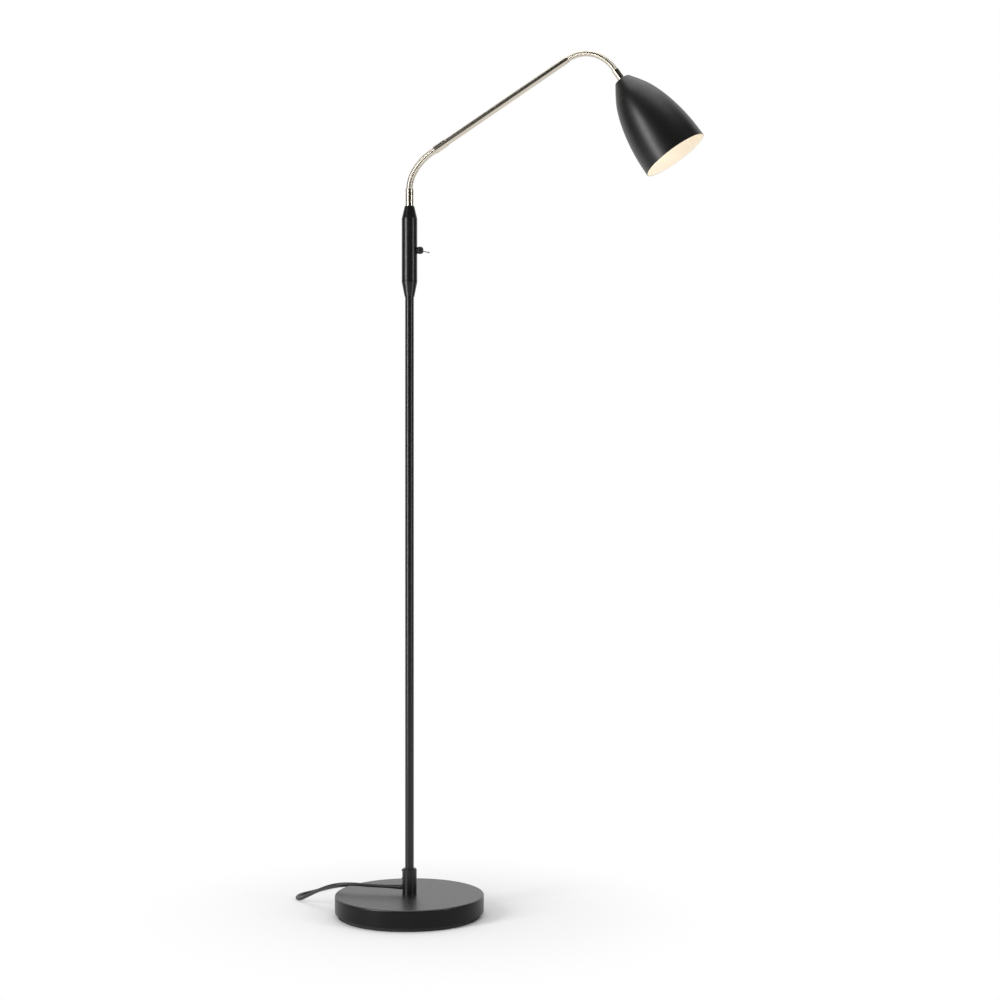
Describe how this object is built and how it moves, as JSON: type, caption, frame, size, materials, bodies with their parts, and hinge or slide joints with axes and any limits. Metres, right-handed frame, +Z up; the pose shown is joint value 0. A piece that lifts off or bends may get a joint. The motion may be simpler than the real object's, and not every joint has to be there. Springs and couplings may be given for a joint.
{
  "type": "gooseneck floor lamp",
  "caption": "Slim floor lamp: weighted round base, pole with a toggle switch, and a nickel gooseneck arm that carries a bullet-shaped shade.",
  "frame": {"origin": "on the floor, in the middle of the round base, on the pole's axis", "axes": "+Z up along the pole; +X is the way the arm leans at rest; the mains cord leaves towards -X"},
  "size_m": [0.6837, 0.3222, 1.3703],
  "materials": {
    "black_powder_coat": "satin black powder coat",
    "satin_nickel": "satin nickel plate",
    "zinc_steel": "bright zinc plate",
    "black_screw": "blackened steel",
    "cast_iron": "as cast",
    "foot_rubber": "matt foam rubber",
    "black_plastic": "moulded, matt",
    "cord_sheath": "smooth flexible sheath",
    "opal_globe": "opal, slightly glossy",
    "plated_pins": "nickel-plated brass"
  },
  "bodies": {
    "stand": {"foot_pad": "foot_rubber", "base_cover": "black_powder_coat", "base_weight": "cast_iron", "fixing_washer": "zinc_steel", "fixing_nut": "zinc_steel", "fixing_stud": "zinc_steel", "collar": "black_powder_coat", "set_screws": "black_screw", "strain_relief": "black_plastic", "lower_pole": "black_powder_coat", "pole_joiner": "zinc_steel", "upper_pole": "black_powder_coat", "housing_lower_cap": "black_powder_coat", "housing_tube": "black_powder_coat", "housing_upper_cap": "black_powder_coat", "switch_body": "black_plastic", "switch_nut": "black_screw", "switch_washer": "zinc_steel", "supply_lead": "cord_sheath", "switch_lead": "cord_sheath", "lower_ferrule": "satin_nickel", "lower_neck_root": "satin_nickel", "cord_run": "cord_sheath", "cord_hank": "cord_sheath", "cord_tail": "cord_sheath", "cord_tie": "black_plastic", "plug_body": "black_plastic", "plug_pins": "plated_pins"},
    "lower_neck_link_1": {"lower_neck_link_1": "satin_nickel"},
    "lower_neck_link_2": {"lower_neck_link_2": "satin_nickel"},
    "lower_neck_link_3": {"lower_neck_link_3": "satin_nickel"},
    "lower_neck_link_4": {"lower_neck_link_4": "satin_nickel"},
    "arm": {"lower_neck_tip": "satin_nickel", "sleeve": "satin_nickel", "arm_tube": "satin_nickel", "arm_lead": "cord_sheath", "upper_neck_root": "satin_nickel"},
    "upper_neck_link_1": {"upper_neck_link_1": "satin_nickel"},
    "upper_neck_link_2": {"upper_neck_link_2": "satin_nickel"},
    "upper_neck_link_3": {"upper_neck_link_3": "satin_nickel"},
    "upper_neck_link_4": {"upper_neck_link_4": "satin_nickel"},
    "upper_neck_link_5": {"upper_neck_link_5": "satin_nickel"},
    "head": {"upper_neck_tip": "satin_nickel", "upper_ferrule": "satin_nickel", "shade": "black_powder_coat", "shade_clamp_nut": "zinc_steel", "lampholder": "black_plastic", "bulb_cap": "zinc_steel", "bulb_glass": "opal_globe"},
    "toggle": {"toggle_lever": "zinc_steel"}
  },
  "joints": [
    {"name": "lower_pitch_1", "type": "hinge", "parent": "stand", "child": "lower_neck_link_1", "pos_m": [0, 0, 1.168], "axis": [0, 1, 0], "range_deg": [-19.2, 13]},
    {"name": "lower_swing_1", "type": "hinge", "parent": "lower_neck_link_1", "child": "lower_neck_link_2", "pos_m": [0.00381, 0, 1.18147], "axis": [-0.9255, 0, 0.3786], "range_deg": [-18, 18]},
    {"name": "lower_pitch_2", "type": "hinge", "parent": "lower_neck_link_2", "child": "lower_neck_link_3", "pos_m": [0.01054, 0, 1.19375], "axis": [0, 1, 0], "range_deg": [-19.2, 13]},
    {"name": "lower_swing_2", "type": "hinge", "parent": "lower_neck_link_3", "child": "lower_neck_link_4", "pos_m": [0.01917, 0, 1.20477], "axis": [-0.7337, 0, 0.6794], "range_deg": [-18, 18]},
    {"name": "lower_pitch_3", "type": "hinge", "parent": "lower_neck_link_4", "child": "arm", "pos_m": [0.0295, 0, 1.21423], "axis": [0, 1, 0], "range_deg": [-19.2, 13]},
    {"name": "upper_pitch_1", "type": "hinge", "parent": "arm", "child": "upper_neck_link_1", "pos_m": [0.26194, 0, 1.36117], "axis": [0, 1, 0], "range_deg": [-22, 6]},
    {"name": "upper_swing_1", "type": "hinge", "parent": "upper_neck_link_1", "child": "upper_neck_link_2", "pos_m": [0.27537, 0, 1.36513], "axis": [-0.1469, 0, 0.9891], "range_deg": [-20, 20]},
    {"name": "upper_pitch_2", "type": "hinge", "parent": "upper_neck_link_2", "child": "upper_neck_link_3", "pos_m": [0.28937, 0, 1.36525], "axis": [0, 1, 0], "range_deg": [-22, 6]},
    {"name": "upper_pitch_3", "type": "hinge", "parent": "upper_neck_link_3", "child": "upper_neck_link_4", "pos_m": [0.30287, 0, 1.36153], "axis": [0, 1, 0], "range_deg": [-22, 6]},
    {"name": "upper_swing_2", "type": "hinge", "parent": "upper_neck_link_4", "child": "upper_neck_link_5", "pos_m": [0.31497, 0, 1.35449], "axis": [0.5948, 0, 0.8039], "range_deg": [-20, 20]},
    {"name": "upper_pitch_4", "type": "hinge", "parent": "upper_neck_link_5", "child": "head", "pos_m": [0.32524, 0, 1.34498], "axis": [0, 1, 0], "range_deg": [-22, 6]},
    {"name": "toggle_switch", "type": "hinge", "parent": "stand", "child": "toggle", "pos_m": [0.016, 0, 1.063], "axis": [0, 1, 0], "range_deg": [-28, 0]}
  ],
  "couplings": [
    {"joint": "lower_pitch_2", "follows": "lower_pitch_1", "ratio": 1},
    {"joint": "lower_swing_2", "follows": "lower_swing_1", "ratio": 1},
    {"joint": "lower_pitch_3", "follows": "lower_pitch_1", "ratio": 1},
    {"joint": "upper_pitch_2", "follows": "upper_pitch_1", "ratio": 1},
    {"joint": "upper_pitch_3", "follows": "upper_pitch_1", "ratio": 1},
    {"joint": "upper_swing_2", "follows": "upper_swing_1", "ratio": 1},
    {"joint": "upper_pitch_4", "follows": "upper_pitch_1", "ratio": 1}
  ]
}
